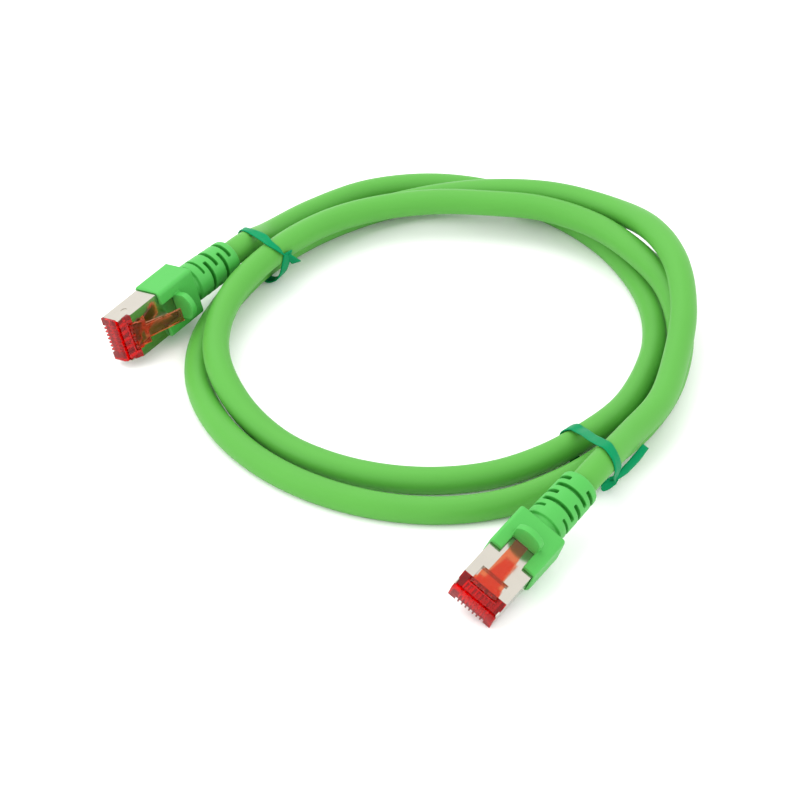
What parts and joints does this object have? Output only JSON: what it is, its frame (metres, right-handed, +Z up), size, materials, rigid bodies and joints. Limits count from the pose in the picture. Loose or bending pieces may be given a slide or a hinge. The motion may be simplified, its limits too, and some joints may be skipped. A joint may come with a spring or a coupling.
{
  "type": "patch cord",
  "caption": "Coiled shielded network patch cord: a moulded-boot modular plug with a sprung latch on each end, the coil held by twist ties.",
  "frame": {"origin": "on the floor under the middle of the two plugs' joint bounding box", "axes": "+X to the right and +Y away from the viewer, with the coil lying flat, +Z up from the floor"},
  "size_m": [0.1419, 0.1636, 0.0187],
  "materials": {
    "nose_plastic": "tinted clear polycarbonate, polished",
    "latch_plastic": "tinted clear polycarbonate, polished",
    "gold_plating": "gold flash on phosphor bronze",
    "guide_plastic": "natural polycarbonate",
    "shield_metal": "bright nickel plating on stamped brass",
    "ferrule_metal": "tin plated",
    "braid_metal": "tinned copper braid",
    "foil": "laminated foil",
    "orange_insulation": "polyethylene",
    "green_insulation": "polyethylene",
    "blue_insulation": "polyethylene",
    "brown_insulation": "polyethylene",
    "boot_plastic": "moulded soft PVC, satin",
    "jacket_plastic": "extruded jacket, satin",
    "tie_plastic": "soft twist strip"
  },
  "bodies": {
    "cord": {"nose_a": "nose_plastic", "contacts_a": "gold_plating", "wire_guide_a": "guide_plastic", "shield_a": "shield_metal", "crimp_ring_a": "ferrule_metal", "braid_end_a": "braid_metal", "pair_foils_a": "foil", "pair_orange_a": "orange_insulation", "pair_green_a": "green_insulation", "pair_blue_a": "blue_insulation", "pair_brown_a": "brown_insulation", "boot_a": "boot_plastic", "nose_b": "nose_plastic", "contacts_b": "gold_plating", "wire_guide_b": "guide_plastic", "shield_b": "shield_metal", "crimp_ring_b": "ferrule_metal", "braid_end_b": "braid_metal", "pair_foils_b": "foil", "pair_orange_b": "orange_insulation", "pair_green_b": "green_insulation", "pair_blue_b": "blue_insulation", "pair_brown_b": "brown_insulation", "boot_b": "boot_plastic", "cable_jacket": "jacket_plastic", "tie_left": "tie_plastic", "tie_right": "tie_plastic"},
    "latch_arm_a": {"latch_a": "latch_plastic"},
    "latch_arm_b": {"latch_b": "latch_plastic"}
  },
  "joints": [
    {"name": "latch_press_a", "type": "hinge", "parent": "cord", "child": "latch_arm_a", "pos_m": [-0.04925, 0.02911, 0.00867], "axis": [-0.2403, 0.1129, 0.9641], "range_deg": [0, 10], "stiffness_Nm_per_rad": 0.3},
    {"name": "latch_press_b", "type": "hinge", "parent": "cord", "child": "latch_arm_b", "pos_m": [0.03185, -0.05735, 0.00857], "axis": [-0.7587, 0.5252, 0.3854], "range_deg": [0, 10], "stiffness_Nm_per_rad": 0.3}
  ]
}
